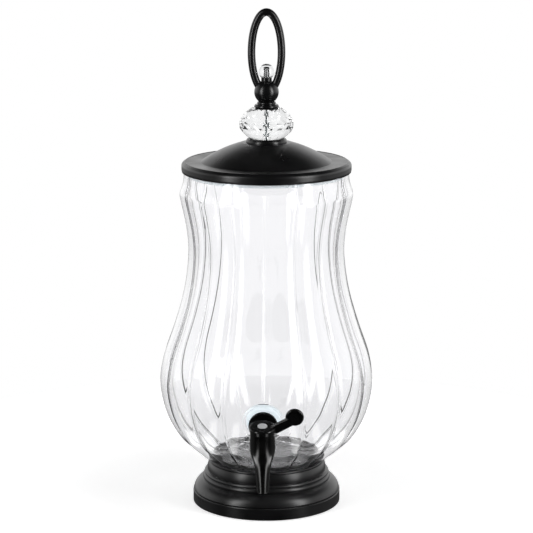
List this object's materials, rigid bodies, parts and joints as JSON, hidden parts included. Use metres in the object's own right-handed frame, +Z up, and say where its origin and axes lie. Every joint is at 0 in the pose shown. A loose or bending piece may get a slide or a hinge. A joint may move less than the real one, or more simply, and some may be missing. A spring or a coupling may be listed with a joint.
{
  "type": "footed glass drink dispenser",
  "caption": "Fluted glass drink dispenser on a stepped metal foot, with a domed lift-off lid, a crystal and ring finial, and a quarter-turn lever spigot.",
  "frame": {"origin": "centre of the base's underside, on the standing surface", "axes": "+Z up along the jar's axis, -Y towards the spigot and the front, +X towards the closed lever (the part's left is -X seen from the front)"},
  "size_m": [0.2284, 0.269, 0.5368],
  "materials": {
    "pad_black": "matte",
    "plate_steel": "plain zinc",
    "shell_black": "satin black",
    "seat_black": "black foam rubber pad",
    "jar_glass": "clear pressed glass",
    "spigot_black": "gloss black",
    "washer_black": "matte",
    "washer_pale": "translucent silicone",
    "nut_black": "satin black",
    "plug_white": "natural",
    "o_ring_black": "matte",
    "lever_black": "gloss black",
    "screw_steel": "plain",
    "button_chrome": "polished",
    "lid_black": "satin black",
    "gasket_clear": "translucent silicone",
    "collar_black": "satin black",
    "lid_washer_steel": "plain",
    "lid_nut_steel": "plain",
    "rod_steel": "darkened",
    "cup_black": "satin black",
    "crystal_clear": "cut crystal",
    "finial_black": "satin black",
    "ball_black": "satin black",
    "ring_black": "satin black",
    "bead_seat_black": "satin black",
    "bead_clear": "clear crystal"
  },
  "bodies": {
    "dispenser": {"base_pad": "pad_black", "base_plate": "plate_steel", "base_shell": "shell_black", "seat_pad": "seat_black", "glass_foot": "jar_glass", "glass_belly": "jar_glass", "glass_neck": "jar_glass", "spigot_body": "spigot_black", "outer_washer": "washer_black", "inner_washer": "washer_pale", "lock_nut": "nut_black"},
    "lid": {"lid_shell": "lid_black", "lid_gasket": "gasket_clear", "lid_collar": "collar_black", "lid_washer": "lid_washer_steel", "lid_nut": "lid_nut_steel", "finial_rod": "rod_steel", "finial_cup": "cup_black", "crystal_rondelle": "crystal_clear", "finial_collar": "finial_black", "finial_ball": "ball_black", "ring_handle": "ring_black", "bead_seat": "bead_seat_black", "crystal_bead": "bead_clear"},
    "lever": {"valve_plug": "plug_white", "valve_o_rings": "o_ring_black", "spigot_lever": "lever_black", "lever_screw": "screw_steel", "lever_button": "button_chrome"}
  },
  "joints": [
    {"name": "lid_lift", "type": "slide", "parent": "dispenser", "child": "lid", "axis": [0, 0, 1], "range_m": [0, 0.12]},
    {"name": "lever_turn", "type": "hinge", "parent": "dispenser", "child": "lever", "pos_m": [0, -0.139, 0.11054], "axis": [0, -0.2419, 0.9703], "range_deg": [-90, 0]}
  ]
}
